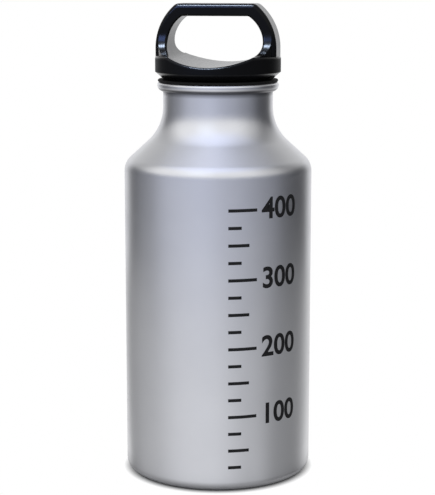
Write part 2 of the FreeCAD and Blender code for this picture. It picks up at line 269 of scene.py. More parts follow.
def place_about_axis(tree):
    """The Object coordinates of a surface, one by one, and its distance from the bottle's axis."""
    split = put(tree, "ShaderNodeSeparateXYZ", {0: put(tree, "ShaderNodeTexCoord").outputs["Object"]}).outputs
    level = put(tree, "ShaderNodeCombineXYZ", {"X": split["X"], "Y": split["Y"]}).outputs["Vector"]
    distance = put(tree, "ShaderNodeVectorMath", {0: level}, operation="LENGTH").outputs["Value"]
    return split, distance


def ring_group():
    """1 between the two full heights, fading to 0 at bottom and top, outside a radius."""
    group = bpy.data.node_groups.new("ring_mask", "ShaderNodeTree")
    names = ("Bottom", "Full From", "Full To", "Top", "Radius")
    sockets(group, "INPUT", {name: ("Float", 0.0) for name in names})
    sockets(group, "OUTPUT", {"Ring": ("Float", None)})
    given = put(group, "NodeGroupInput").outputs
    split, distance = place_about_axis(group)
    lower = remap(group, split["Z"], given["Bottom"], given["Full From"], 0.0, 1.0)
    upper = remap(group, split["Z"], given["Full To"], given["Top"], 1.0, 0.0)
    outside = maths(group, "GREATER_THAN", distance, given["Radius"])
    put(group, "NodeGroupOutput", {
        "Ring": maths(group, "MULTIPLY", maths(group, "MULTIPLY", lower, upper), outside)})
    return group


RING = ring_group()
print("shader group:", RING.name)

# %% [markdown]
# ## Rings in a finish
# The rings lie near the mouth, so their heights are counted from there, which is where the gasket
# starts. A finish is changed by putting a node between one of its shader's inputs and what feeds it.

# %% Rings in a finish
mouth_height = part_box("seal_gasket")[0][2]


def ring_in(material, heights, radius):
    """Places the ring in a material: four heights above the mouth and a radius, in mm."""
    ring = put(material.node_tree, "ShaderNodeGroup", node_tree=RING)
    for socket, value in zip(ring.inputs, [mouth_height + height * MM for height in heights] + [radius * MM]):
        socket.default_value = value
    return ring.outputs["Ring"]


def fed(material, name):
    """One of the shader's inputs, and what feeds it so far."""
    socket = material.node_tree.nodes["Principled BSDF"].inputs[name]
    return socket, socket.links[0].from_socket


print(f"mouth at {mouth_height / MM:.1f} mm")

# %% [markdown]
# ## Glossy black plastic
# The cap is moulded in a polished tool, which gives it a thin glossy skin. Its faces stay dark while
# its edges shine, so its shine is turned down where it is seen straight on. The drum's wall, where
# fingers turn the cap, comes matt from a textured part of the tool: it is rougher and lacks the skin.

# %% Glossy black plastic
GRIP_HEIGHTS, GRIP_RADIUS, GRIP_ROUGHNESS = (3.6, 3.9, 8.6, 9.4), 23.92, 0.3
SKIN_WEIGHT, SKIN_ROUGHNESS = 0.12, 0.22
GLOSS_PLASTIC = finish("gloss_black_plastic", [(0.002, 0.002, 0.0025), (0.0035, 0.0035, 0.004)],
                       roughness=0.22, spread=0.03, relief=0.0003, grain_size=0.6,
                       specular=0.2, face_shine=0.2)
tree = GLOSS_PLASTIC.node_tree
grip = ring_in(GLOSS_PLASTIC, GRIP_HEIGHTS, GRIP_RADIUS)
socket, rough = fed(GLOSS_PLASTIC, "Roughness")
tree.links.new(maths(tree, "MULTIPLY_ADD", grip, GRIP_ROUGHNESS, rough), socket)
coat = tree.nodes["Principled BSDF"].inputs
tree.links.new(remap(tree, grip, 0.0, 1.0, SKIN_WEIGHT, 0.0), coat["Coat Weight"])
coat["Coat Roughness"].default_value = SKIN_ROUGHNESS

# %% [markdown]
# ## Satin aluminium
# The bottle is blasted and anodised, which leaves a fine satin grey with a touch of blue. The crevice
# under the rolled bead lies in shade, so a thin ring of painted shade darkens the finish's colour
# there.

# %% Satin aluminium
PAINTED_SHADE_HEIGHTS, PAINTED_SHADE_RADIUS, PAINTED_SHADE_TONE = (-5.2, -3.3, -2.6, -2.0), 20.5, (0.14, 0.14, 0.15)
SATIN_ALUMINIUM = finish("satin_aluminium", [(0.70, 0.705, 0.725), (0.735, 0.74, 0.757)],
                         roughness=0.33, spread=0.03, relief=0.002, grain_size=0.25, metallic=1.0)
tree = SATIN_ALUMINIUM.node_tree
# Painted shade: the base colour darkens in a thin ring under the bead, where the crevice is in shade.
painted_shade = ring_in(SATIN_ALUMINIUM, PAINTED_SHADE_HEIGHTS, PAINTED_SHADE_RADIUS)
socket, colour = fed(SATIN_ALUMINIUM, "Base Color")
tree.links.new(blend(tree, painted_shade, colour, PAINTED_SHADE_TONE), socket)

# %% [markdown]
# ## Geometry Nodes on a piece
# A tree is a rule: give it sizes and it grows a mesh. The helpers below start and end a rule, and put
# it on a holder object, where they set the modifier's inputs by their identifiers and keep the
# evaluated result as a plain mesh at the origin. The holder and its modifier go, because the export
# wants finished meshes.

# %% Geometry Nodes on a piece


def new_rule(name, inputs):
    """An empty Geometry Nodes tree with named inputs; returns the tree and its input sockets."""
    tree = bpy.data.node_groups.new(name, "GeometryNodeTree")
    sockets(tree, "INPUT", {"Geometry": ("Geometry", None), **inputs, "Material": ("Material", None)})
    sockets(tree, "OUTPUT", {"Geometry": ("Geometry", None)})
    return tree, put(tree, "NodeGroupInput").outputs


def end_rule(tree, given, geometry):
    """Every rule ends alike: real geometry, with its material."""
    real = put(tree, "GeometryNodeRealizeInstances", {"Geometry": geometry}).outputs["Geometry"]
    dressed = put(tree, "GeometryNodeSetMaterial", {"Geometry": real, "Material": given["Material"]})
    put(tree, "NodeGroupOutput", {"Geometry": dressed.outputs["Geometry"]})
    return tree


def grow(name, tree, values, base=None):
    """Runs a rule on a base mesh and keeps the result as a plain mesh object."""
    holder = link(bpy.data.objects.new(f"{name}_holder", base or bpy.data.meshes.new(f"{name}_base")))
    modifier = holder.modifiers.new("rule", "NODES")
    modifier.node_group = tree
    identifiers = {item.name: item.identifier for item in tree.interface.items_tree if item.in_out == "INPUT"}
    for key, value in values.items():
        modifier[identifiers[key]] = value
    grown = holder.evaluated_get(bpy.context.evaluated_depsgraph_get())
    mesh = bpy.data.meshes.new_from_object(grown)
    bpy.data.objects.remove(holder)
    mesh.name = name
    piece = link(bpy.data.objects.new(name, mesh))
    print(f"{name}: {len(mesh.vertices)} vertices, {len(mesh.polygons)} faces")
    return piece


print("helpers for rules: new_rule, end_rule, grow")

# %% [markdown]
# ## Round the axis
# Lathe, thread and print all place their points about the bottle's axis. The same few nodes do it each
# time: a radius, an angle and a height become a position, and Set Position moves the points there.

# %% Round the axis


def round_axis(tree, geometry, radius, angle, height):
    """Moves points about the axis; the angle counts from the X axis."""
    place = put(tree, "ShaderNodeCombineXYZ", {
        "X": maths(tree, "MULTIPLY", radius, maths(tree, "COSINE", angle)),
        "Y": maths(tree, "MULTIPLY", radius, maths(tree, "SINE", angle)),
        "Z": height,
    }).outputs["Vector"]
    return put(tree, "GeometryNodeSetPosition", {"Geometry": geometry, "Position": place}).outputs["Geometry"]


print("helper for rules: round_axis")

# %% [markdown]
# ## The lathe rule
# Bottle and gasket are turned shapes, so one outline says everything. The rule lays out a grid with one
# row for each point of the outline and one column for each step round the axis, then moves every grid
# point to its place. Merging closes the seam and the pole, and edges sharper than a limit stay crisp.

# %% The lathe rule
WELD = 0.001 * MM


def lathe_rule():
    """Turns a mesh of outline points into a closed skin."""
    tree, given = new_rule("lathe", {"Segments": ("Int", 64), "Crisp Angle": ("Float", math.radians(30))})
    outline = given["Geometry"]
    points = put(tree, "GeometryNodeAttributeDomainSize", {"Geometry": outline}).outputs["Point Count"]
    columns = maths(tree, "ADD", given["Segments"], 1.0)
    grid = put(tree, "GeometryNodeMeshGrid", {"Vertices X": points, "Vertices Y": columns}).outputs["Mesh"]
    index = put(tree, "GeometryNodeInputIndex").outputs["Index"]
    row = maths(tree, "FLOOR", maths(tree, "DIVIDE", maths(tree, "ADD", index, 0.5), columns))
    column = maths(tree, "SUBTRACT", index, maths(tree, "MULTIPLY", row, columns))
    angle = maths(tree, "MULTIPLY", maths(tree, "DIVIDE", column, given["Segments"]), -2 * math.pi)
    place = put(tree, "GeometryNodeInputPosition").outputs["Position"]
    sample = put(tree, "GeometryNodeSampleIndex", data_type="FLOAT_VECTOR", domain="POINT")
    for key, value in (("Geometry", outline), ("Value", place), ("Index", row)):
        tree.links.new(value, sample.inputs[key])
    split = put(tree, "ShaderNodeSeparateXYZ", {0: sample.outputs["Value"]}).outputs
    turned = round_axis(tree, grid, split["X"], angle, split["Z"])
    closed = put(tree, "GeometryNodeMergeByDistance", {"Geometry": turned, "Distance": WELD})
    smooth = put(tree, "GeometryNodeSetShadeSmooth", {"Geometry": closed.outputs["Geometry"]}, domain="FACE")
    bend = put(tree, "GeometryNodeInputMeshEdgeAngle").outputs["Unsigned Angle"]
    crisp = put(tree, "GeometryNodeSetShadeSmooth", {
        "Geometry": smooth.outputs["Geometry"],
        "Selection": maths(tree, "GREATER_THAN", bend, given["Crisp Angle"]),
        "Shade Smooth": False,
    }, domain="EDGE")
    return end_rule(tree, given, crisp.outputs["Geometry"])


LATHE = lathe_rule()
print("rule:", LATHE.name)

# %% [markdown]
# ## Outlines
# An outline is a list of points, each with a radius and a height in millimetres. Nearly all of it is
# arcs, so two helpers are enough: one gives the points of an arc, and one hands the outline to the
# lathe as a mesh of bare points.

# %% Outlines


def arc(centre, radius, start, stop, steps):
    """Points of an arc, from one angle to another in degrees, counted from the outward direction."""
    angles = [math.radians(start + (stop - start) * step / steps) for step in range(steps + 1)]
    return [(centre[0] + radius * math.cos(a), centre[1] + radius * math.sin(a)) for a in angles]


def outline_mesh(name, outline):
    """A mesh that only holds the points of an outline."""
    mesh = bpy.data.meshes.new(name)
    mesh.from_pydata([(radius * MM, 0, height * MM) for radius, height in outline], [], [])
    return mesh


print("a quarter circle:", [(round(x, 2), round(z, 2)) for x, z in arc((0, 0), 1, 0, 90, steps=3)])

# %% [markdown]
# ## Shoulder
# The bottle is drawn and spun from one aluminium blank. Between its straight wall and its neck the
# metal follows an S of two arcs that touch a short cone. The cone's lean settles the rest: what the
# arcs leave of the way inwards is the cone's run, and the run gives the height. The inside has the same
# S, smaller by the wall. Sizes are the solid's own.

# %% Shoulder
BODY_RADIUS, BODY_HEIGHT, WALL = 36.0, 117.8, 1.0
NECK_RADIUS, NECK_WALL, NECK_LENGTH = 21.0, 2.0, 5.7
SHOULDER_ROUND, THROAT_ROUND, LEAN = 7.0, 18.0, 47.7
BORE = NECK_RADIUS - NECK_WALL


def shoulder(radius, neck, first_round, second_round, steps):
    """The S from the straight wall up to the neck: a convex arc, a cone and a concave arc."""
    lean = math.radians(LEAN)
    rounds = first_round + second_round
    run = radius - neck - rounds * (1 - math.cos(lean))
    top = BODY_HEIGHT + rounds * math.sin(lean) + run / math.tan(lean)
    convex = arc((radius - first_round, BODY_HEIGHT), first_round, 0, LEAN, steps)
    concave = arc((neck + second_round, top), second_round, 180 + LEAN, 180, steps)
    return convex + concave


OUTER_S = shoulder(BODY_RADIUS, NECK_RADIUS, SHOULDER_ROUND, THROAT_ROUND, steps=20)
INNER_S = shoulder(BODY_RADIUS - WALL, BORE, SHOULDER_ROUND - WALL, THROAT_ROUND + NECK_WALL, steps=14)
print(f"shoulder ends {OUTER_S[-1][1]:.2f} mm up")

# %% [markdown]
# ## Outside of the shell
# From the middle of the base, the outline runs down a shallow dome to the foot ring, round the base
# corner, up the wall and the shoulder, and over the rolled bead at the mouth. The dome keeps a drawn
# base from rocking, and the bead stiffens the mouth and carries the gasket.

# %% Outside of the shell
BASE_CORNER, FOOT_WIDTH, BASE_RISE, BASE_WALL = 4.0, 4.0, 5.0, 1.5
BEAD_OVERHANG, BEAD_HEIGHT, BEAD_CORNER = 2.2, 3.6, 1.2
FOOT_OUT = BODY_RADIUS - BASE_CORNER
FOOT_IN = FOOT_OUT - FOOT_WIDTH
DOME = (FOOT_IN**2 + BASE_RISE**2) / (2 * BASE_RISE)
DOME_EDGE = math.degrees(math.asin(FOOT_IN / DOME))
MOUTH = OUTER_S[-1][1] + NECK_LENGTH + BEAD_HEIGHT
BEAD_RADIUS = NECK_RADIUS + BEAD_OVERHANG
BEAD_RISE = BEAD_HEIGHT - BEAD_CORNER
BEAD_ROUND = (BEAD_OVERHANG**2 + BEAD_RISE**2) / (2 * BEAD_OVERHANG)
BEAD_SWEEP = math.degrees(math.asin(BEAD_RISE / BEAD_ROUND))
outside = (
    arc((0, BASE_RISE - DOME), DOME, 90, 90 - DOME_EDGE, steps=12)
    + arc((FOOT_OUT, BASE_CORNER), BASE_CORNER, -90, 0, steps=12)
    + OUTER_S
    + arc((BEAD_RADIUS - BEAD_ROUND, MOUTH - BEAD_CORNER), BEAD_ROUND, -BEAD_SWEEP, 0, steps=10)
    + arc((BEAD_RADIUS - BEAD_CORNER, MOUTH - BEAD_CORNER), BEAD_CORNER, 0, 90, steps=8)[1:]
)
print(f"outside: {len(outside)} points, mouth at {MOUTH:.2f} mm")

# %% [markdown]
# ## Inside of the shell
# The same outline goes on through the mouth and down the inside, because the cap comes off and shows
# it. Knowing the inside also gives the capacity: a turned outline is a stack of cone slices, and their
# volumes add up.

# %% Inside of the shell
MOUTH_CHAMFER = 0.6
CUBIC_MM_IN_ML = 1000
CORNER_RUN, CORNER_RISE = BASE_CORNER - WALL, BASE_CORNER - BASE_WALL
CORNER_ROUND = (CORNER_RUN**2 + CORNER_RISE**2) / (2 * CORNER_RUN)
CORNER_SWEEP = math.degrees(math.asin(CORNER_RISE / CORNER_ROUND))
inside_floor = (
    arc((BODY_RADIUS - WALL - CORNER_ROUND, BASE_CORNER), CORNER_ROUND, 0, CORNER_SWEEP - 180, steps=8)
    + [(FOOT_IN, BASE_WALL)]
    + arc((0, BASE_RISE + BASE_WALL - DOME), DOME, 90 - DOME_EDGE, 90, steps=12)[1:]
)
inside = [(BORE + MOUTH_CHAMFER, MOUTH), (BORE, MOUTH - MOUTH_CHAMFER)] + INNER_S[::-1] + inside_floor


def capacity(outline):
    """Volume inside a turned outline that goes down to the axis, in millilitres."""
    slices = zip(outline, outline[1:])
    volume = sum(math.pi * (a * a + a * b + b * b) / 3 * (top - low) for (a, top), (b, low) in slices)
    return volume / CUBIC_MM_IN_ML


print(f"inside: {len(inside)} points, brimful {capacity(inside):.0f} ml")

# %% [markdown]
# ## Bottle shell
# With the outline closed on the axis at both ends, the lathe gives one closed skin, inside and out. It
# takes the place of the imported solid, which stays for collisions, and rides on the bottle.

# %% Bottle shell
RING_SEGMENTS = 192
shell = grow("bottle_shell_spun", LATHE, {"Segments": RING_SEGMENTS, "Material": SATIN_ALUMINIUM},
             outline_mesh("shell_outline", outside + inside))
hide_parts("bottle_shell")
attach(shell, "bottle")

# %% [markdown]
# ## Gasket
# A flat rubber ring lies on the bead and is squeezed by the cap. Only its rounded outer edge shows, as
# a thin dark line between metal and plastic. It is turned by the same rule, from a closed outline.

# %% Gasket
GASKET_BORE, GASKET_INSET, GASKET_THICKNESS = 18.8, 0.2, 1.0
GASKET_EDGE = BEAD_RADIUS - GASKET_INSET - GASKET_THICKNESS / 2
gasket_outline = (
    [(GASKET_BORE, MOUTH + GASKET_THICKNESS), (GASKET_BORE, MOUTH)]
    + arc((GASKET_EDGE, MOUTH + GASKET_THICKNESS / 2), GASKET_THICKNESS / 2, -90, 90, steps=10)
    + [(GASKET_BORE, MOUTH + GASKET_THICKNESS)]
)
gasket = grow("gasket_ring", LATHE, {"Segments": RING_SEGMENTS, "Material": SEAL_RUBBER},
              outline_mesh("gasket_outline", gasket_outline))
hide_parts("seal_gasket")
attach(gasket, "seal")

# %% [markdown]
# ## Cap and plug
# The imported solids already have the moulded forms: the arch with its hollow flares, the saddle under
# the finger opening, the tapered drum, and the plug with its keys and vents. Their meshes carry exact
# normals, so they stay and only get their finishes.

# %% Cap and plug
for node, material in (("cap_handle", GLOSS_PLASTIC), ("cap_plug", PLUG_PLASTIC)):
    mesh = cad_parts[node].data
    mesh.materials[0] = material
    print(f"{node}: {len(mesh.polygons)} faces, finish {material.name}")

# %% [markdown]
# ## Thread section
# A screw thread is a small section swept along a helix. The section is a trapezium, with its crest
# outwards for a side of 1 and inwards for -1. It thins out towards each end of a ridge, as a moulded
# thread does, so its size follows the distance to the nearer end.

# %% Thread section
RUN_OUT_THICKNESS = 0.25


def thread_section(tree, given):
    """The trapezium that is swept along the helix."""
    section = put(tree, "GeometryNodeCurvePrimitiveQuadrilateral", {"Offset": 0.0}, mode="TRAPEZOID")
    for key, name in (("Bottom Width", "Root Width"), ("Top Width", "Crest Width"), ("Height", "Depth")):
        tree.links.new(given[name], section.inputs[key])
    quarter = put(tree, "ShaderNodeCombineXYZ", {"Z": maths(tree, "MULTIPLY", given["Side"], math.pi / 2)})
    return put(tree, "GeometryNodeTransform", {
        "Geometry": section.outputs["Curve"], "Rotation": quarter.outputs["Vector"]}).outputs["Geometry"]


def run_out(tree, given):
    """The section's size along a ridge: 1, and less towards the ends."""
    along = put(tree, "GeometryNodeSplineParameter").outputs["Length"]
    whole = put(tree, "GeometryNodeSplineLength").outputs["Length"]
    to_end = maths(tree, "MINIMUM", along, maths(tree, "SUBTRACT", whole, along))
    return remap(tree, maths(tree, "DIVIDE", to_end, given["Run-out"]), 0.0, 1.0, RUN_OUT_THICKNESS, 1.0)


print("helpers for the thread: thread_section, run_out")

# %% [markdown]
# ## The thread rule
# The rule bends a line into the helix, takes out the stretches that cross the plug's vents, and sweeps
# the section along what is left.

# %% The thread rule


def thread_rule():
    """Grows a screw thread's ridge from its sizes."""
    tree, given = new_rule("thread", {
        "Radius": ("Float", 18 * MM), "Lead": ("Float", 4 * MM), "Start Height": ("Float", 0.0),
        "Turns": ("Float", 2.0), "Steps": ("Int", 96), "Depth": ("Float", 1.3 * MM),
        "Root Width": ("Float", 1.7 * MM), "Crest Width": ("Float", 0.9 * MM), "Side": ("Float", 1.0),
        "Vent Angle": ("Float", 0.0), "Run-out": ("Float", 5 * MM),
    })
    count = maths(tree, "MULTIPLY", given["Turns"], given["Steps"])
    line = put(tree, "GeometryNodeMeshLine", {"Count": count}).outputs["Mesh"]
    turn = maths(tree, "DIVIDE", put(tree, "GeometryNodeInputIndex").outputs["Index"], given["Steps"])
    angle = maths(tree, "MULTIPLY", turn, 2 * math.pi)
    height = maths(tree, "MULTIPLY_ADD", turn, given["Lead"], given["Start Height"])
    helix = round_axis(tree, line, given["Radius"], angle, height)
    off_vent = maths(tree, "ABSOLUTE", maths(tree, "SINE", angle))
    on_vent = maths(tree, "LESS_THAN", off_vent, maths(tree, "SINE", given["Vent Angle"]))
    cut = put(tree, "GeometryNodeDeleteGeometry", {"Geometry": helix, "Selection": on_vent}, domain="POINT")
    runs = put(tree, "GeometryNodeMeshToCurve", {0: cut.outputs["Geometry"]}).outputs["Curve"]
    upright = put(tree, "GeometryNodeSetCurveNormal", {"Curve": runs}, mode="Z_UP").outputs["Curve"]
    tapered = put(tree, "GeometryNodeSetCurveRadius", {"Curve": upright, "Radius": run_out(tree, given)})
    ridge = put(tree, "GeometryNodeCurveToMesh", {
        "Curve": tapered.outputs["Curve"], "Profile Curve": thread_section(tree, given), "Fill Caps": True})
    return end_rule(tree, given, ridge.outputs["Mesh"])


THREAD = thread_rule()
print("rule:", THREAD.name)

# %% [markdown]
# ## Plug thread and neck thread
# One ridge runs round the plug and another round the inside of the neck. They have the same lead and
# stand half a lead apart, so they pass between each other as the cap turns. Two vents cut the plug's
# ridge, so that pressure can escape before the cap is quite off. Each ridge starts a little inside the
# wall that carries it.

# %% Plug thread and neck thread
LEAD, PLUG_TURNS, NECK_TURNS = 4.0, 2.0, 1.9
CORE_RADIUS, VENT_HALF_WIDTH = 17.5, 3.0
THREAD_START, THREAD_SEAT = 139.4, 0.5
vent_angle = math.asin(VENT_HALF_WIDTH / CORE_RADIUS)
plug_thread = grow("plug_thread", THREAD, {
    "Lead": LEAD * MM, "Radius": (CORE_RADIUS + THREAD_SEAT) * MM, "Start Height": THREAD_START * MM,
    "Turns": PLUG_TURNS, "Vent Angle": vent_angle, "Material": PLUG_PLASTIC})
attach(plug_thread, "cap")
neck_thread = grow("neck_thread", THREAD, {
    "Lead": LEAD * MM, "Radius": (BORE - THREAD_SEAT) * MM, "Start Height": (THREAD_START + LEAD / 2) * MM,
    "Turns": NECK_TURNS, "Side": -1.0, "Material": SATIN_ALUMINIUM})
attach(neck_thread, "bottle")

# %% [markdown]
# ## Lengths of the scale's lines
# A plain black fill scale is printed on the wall. As on a ruler, its lines are longer at every second
# and fourth step, so that a level is found at a glance. A Switch node chooses the length by the line's
# number.

# %% Lengths of the scale's lines


def line_length(tree, given, index):
    """Short, and longer at every second and fourth line."""
    number = maths(tree, "ADD", index, 1.0)
    length = given["Short"]
    for every, name in ((2.0, "Middle"), (4.0, "Long")):
        chosen = maths(tree, "LESS_THAN", maths(tree, "MODULO", number, every), 0.5)
        switch = put(tree, "GeometryNodeSwitch", {"Switch": chosen}, input_type="FLOAT")
        tree.links.new(length, switch.inputs["False"])
        tree.links.new(given[name], switch.inputs["True"])
        length = switch.outputs["Output"]
    return length


print("helper for the scale: line_length")

# %% [markdown]
# ## The scale rule
# The lines repeat, so a rule makes them: one thin bar for each level. They are laid out flat, with the
# height along Y, and then bent onto the wall by turning the way along X into an angle.

# %% The scale rule
BAR_CUTS = 16
FRONT = -math.pi / 2


def scale_rule():
    """Grows the printed lines of a fill scale; its angle counts from the bottle's front."""
    tree, given = new_rule("fill_scale", {
        "Count": ("Int", 16), "First Height": ("Float", 0.03), "Step": ("Float", 5 * MM),
        "Short": ("Float", 5 * MM), "Middle": ("Float", 8 * MM), "Long": ("Float", 11 * MM),
        "Line": ("Float", 1.2 * MM), "Film": ("Float", 0.06 * MM), "Wall Radius": ("Float", 36 * MM),
        "Spine Angle": ("Float", 0.0),
    })
    line = put(tree, "GeometryNodeMeshLine", {"Count": given["Count"]})
    index = put(tree, "GeometryNodeInputIndex").outputs["Index"]
    height = maths(tree, "MULTIPLY_ADD", index, given["Step"], given["First Height"])
    level = put(tree, "ShaderNodeCombineXYZ", {"Y": height}).outputs["Vector"]
    levels = put(tree, "GeometryNodeSetPosition", {"Geometry": line.outputs["Mesh"], "Position": level})
    bar = put(tree, "GeometryNodeMeshCube", {"Size": (1.0, 1.0, 1.0), "Vertices X": BAR_CUTS}).outputs["Mesh"]
    aside = put(tree, "GeometryNodeTransform", {"Geometry": bar, "Translation": (0.5, 0.0, 0.0)})
    size = put(tree, "ShaderNodeCombineXYZ", {
        "X": line_length(tree, given, index), "Y": given["Line"], "Z": given["Film"]}).outputs["Vector"]
    bars = put(tree, "GeometryNodeInstanceOnPoints", {
        "Points": levels.outputs["Geometry"], "Instance": aside.outputs["Geometry"], "Scale": size})
    flat = put(tree, "GeometryNodeRealizeInstances", {"Geometry": bars.outputs["Instances"]})
    place = put(tree, "GeometryNodeInputPosition").outputs["Position"]
    split = put(tree, "ShaderNodeSeparateXYZ", {0: place}).outputs
    spine = maths(tree, "ADD", given["Spine Angle"], FRONT)
    angle = maths(tree, "ADD", maths(tree, "DIVIDE", split["X"], given["Wall Radius"]), spine)
    radius = maths(tree, "ADD", given["Wall Radius"], split["Z"])
    bent = round_axis(tree, flat.outputs["Geometry"], radius, angle, split["Y"])
    return end_rule(tree, given, bent)


SCALE = scale_rule()
print("rule:", SCALE.name)

# %% [markdown]
# ## Fill scale lines
# The lines stand at the true levels. What the domed floor holds is known from the inside outline, and
# above it the wall is straight, so each further step adds the same height.

# %% Fill scale lines
SCALE_STEP_ML, SCALE_LINES = 25, 16
SPINE_ANGLE = CAMERA_TURN + math.radians(6)
LONG_LINE = 11.0
FILM = 0.06
wall_area = math.pi * (BODY_RADIUS - WALL) ** 2
step_height = SCALE_STEP_ML * CUBIC_MM_IN_ML / wall_area
first_height = BASE_CORNER + (SCALE_STEP_ML - capacity(inside_floor)) * CUBIC_MM_IN_ML / wall_area
scale_lines = grow("fill_scale_lines", SCALE, {
    "Count": SCALE_LINES, "First Height": first_height * MM, "Step": step_height * MM,
    "Long": LONG_LINE * MM, "Film": FILM * MM, "Wall Radius": BODY_RADIUS * MM,
    "Spine Angle": SPINE_ANGLE, "Material": SCALE_INK})
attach(scale_lines, "bottle")
print(f"lines every {step_height:.2f} mm from {first_height:.2f} mm")

# %% [markdown]
# ## Flat numerals
# Every fourth line gets its number of millilitres. Blender's own plain typeface does for a scale. Text
# becomes a mesh before it is moved. Its flat inner edges are dissolved, which leaves a few large faces
# instead of many thin ones.

# %% Flat numerals
NUMBERED = 4
NUMERAL_HEIGHT, NUMERAL_GAP, NUMERAL_BOLD = 8.0, 2.0, 0.25
DIGIT_SHARE = 0.73
TINY, FLAT_ANGLE = 0.01 * MM, 0.001


def flat_numeral(number, height):
    """A number as a flat mesh, beside the long lines and centred on a height in metres."""
    text = bpy.data.curves.new("numeral", "FONT")
    text.body = str(number)
    text.size = NUMERAL_HEIGHT / DIGIT_SHARE * MM
    text.align_y = "CENTER"
    text.offset = NUMERAL_BOLD * MM
    word = link(bpy.data.objects.new("numeral", text))
    mesh = bpy.data.meshes.new_from_object(word.evaluated_get(bpy.context.evaluated_depsgraph_get()))
    bpy.data.objects.remove(word)
    for vertex in mesh.vertices:
        vertex.co.x += (LONG_LINE + NUMERAL_GAP) * MM
        vertex.co.y += height
    return mesh


numerals = bmesh.new()
for line in range(NUMBERED, SCALE_LINES + 1, NUMBERED):
    numerals.from_mesh(flat_numeral(line * SCALE_STEP_ML, (first_height + (line - 1) * step_height) * MM))
bmesh.ops.remove_doubles(numerals, verts=numerals.verts, dist=TINY)
bmesh.ops.dissolve_limit(numerals, angle_limit=FLAT_ANGLE, verts=numerals.verts[:], edges=numerals.edges[:])
print(f"flat numerals: {len(numerals.faces)} faces")

# %% [markdown]
# ## Bent numerals
# A flat face can't follow a round wall, so the numerals are cut into narrow upright strips first. Every
# point then goes round the wall as the lines' points do, once for the lower and once for the upper side
# of a film of ink. Each face is used for both sides, and open edges get a side face between them. All
# faces are turned outwards at the end.

# %% Bent numerals
STRIP = 0.8 * MM
right_edge = max(vertex.co.x for vertex in numerals.verts)
for strip in range(int(right_edge / STRIP) + 1):
    everything = numerals.verts[:] + numerals.edges[:] + numerals.faces[:]
    bmesh.ops.bisect_plane(numerals, geom=everything, dist=TINY,
                           plane_co=(strip * STRIP, 0, 0), plane_no=(1, 0, 0))
bmesh.ops.dissolve_degenerate(numerals, dist=TINY, edges=numerals.edges[:])
numerals.verts.index_update()
lift = len(numerals.verts)
points = [around(SPINE_ANGLE + vertex.co.x / (BODY_RADIUS * MM), radius * MM, vertex.co.y)
          for radius in (BODY_RADIUS - FILM / 2, BODY_RADIUS + FILM / 2) for vertex in numerals.verts]
faces = []
for face in numerals.faces:
    corners = [vertex.index for vertex in face.verts]
    faces += [corners[::-1], [corner + lift for corner in corners]]
    for loop in (loop for loop in face.loops if loop.edge.is_boundary):
        a, b = loop.vert.index, loop.link_loop_next.vert.index
        faces.append([a, b, b + lift, a + lift])
numerals.free()
numeral_mesh = bpy.data.meshes.new("fill_scale_numerals")
numeral_mesh.from_pydata(points, [], faces)
film = bmesh.new()
film.from_mesh(numeral_mesh)
bmesh.ops.recalc_face_normals(film, faces=film.faces)
film.to_mesh(numeral_mesh)
film.free()
numeral_mesh.materials.append(SCALE_INK)
numeral_piece = link(bpy.data.objects.new("fill_scale_numerals", numeral_mesh))
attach(numeral_piece, "bottle")
print(f"numerals: {len(numeral_mesh.polygons)} faces")

# %% [markdown]
# ## Table
# The bottle stands on a small round table that is as white as the paper behind it, so the table's edge
# can't be seen. It is matt and pale grey, and for the camera it glows up to white, a little for mirrors
# too. Close to the foot the glow fades, where a real bottle keeps the light off the table. It is open
# under the base, and clear from below, so that the base can be looked at as well.

# %% Table
TABLE_RADIUS = 37.6 * MM
SHADE_RADIUS, SHADE_POWER = 33.5 * MM, 1.2
RIM_GLOW, MIRRORED_SHARE = 0.8, 0.1
TABLE_GREY = 0.4


def seen_directly(tree, mirrored=1.0):
    """1 for what the camera sees, a share for mirrors and glass, and 0 for matt surfaces."""
    rays = put(tree, "ShaderNodeLightPath").outputs
    shown = maths(tree, "MAXIMUM", rays["Is Glossy Ray"], rays["Is Transmission Ray"])
    return maths(tree, "MAXIMUM", rays["Is Camera Ray"], maths(tree, "MULTIPLY", shown, mirrored))


def band_mesh(name, edges, steps=96):
    """A band between two circles about the axis, each given as (radius, height)."""
    mesh = bpy.data.meshes.new(name)
    points = [around(2 * math.pi * n / steps, *edge) for edge in edges for n in range(steps)]
    faces = [(n, (n + 1) % steps, (n + 1) % steps + steps, n + steps) for n in range(steps)]
    mesh.from_pydata(points, [], faces)
    return mesh


table = link(bpy.data.objects.new("table", band_mesh("table", [(TABLE_RADIUS, 0), (FOOT_OUT * MM, 0)])))
paper = bpy.data.materials.new("white_table")
paper.use_nodes = True
tree = paper.node_tree
tree.nodes.clear()
distance = place_about_axis(tree)[1]
fade = maths(tree, "POWER", remap(tree, distance, SHADE_RADIUS, TABLE_RADIUS, 0.0, 1.0), SHADE_POWER)
glow = maths(tree, "MULTIPLY", maths(tree, "MULTIPLY", fade, RIM_GLOW), seen_directly(tree, MIRRORED_SHARE))
matt = put(tree, "ShaderNodeBsdfDiffuse", {"Color": (TABLE_GREY, TABLE_GREY, TABLE_GREY, 1.0)})
light = put(tree, "ShaderNodeEmission", {"Strength": glow})
both = put(tree, "ShaderNodeAddShader", {0: matt.outputs[0], 1: light.outputs[0]})
clear = put(tree, "ShaderNodeBsdfTransparent")
below = put(tree, "ShaderNodeNewGeometry").outputs["Backfacing"]
sides = put(tree, "ShaderNodeMixShader", {0: below, 1: both.outputs[0], 2: clear.outputs[0]})
put(tree, "ShaderNodeOutputMaterial", {"Surface": sides.outputs[0]})
table.data.materials.append(paper)
print(f"table {2 * TABLE_RADIUS / MM:.0f} mm across")

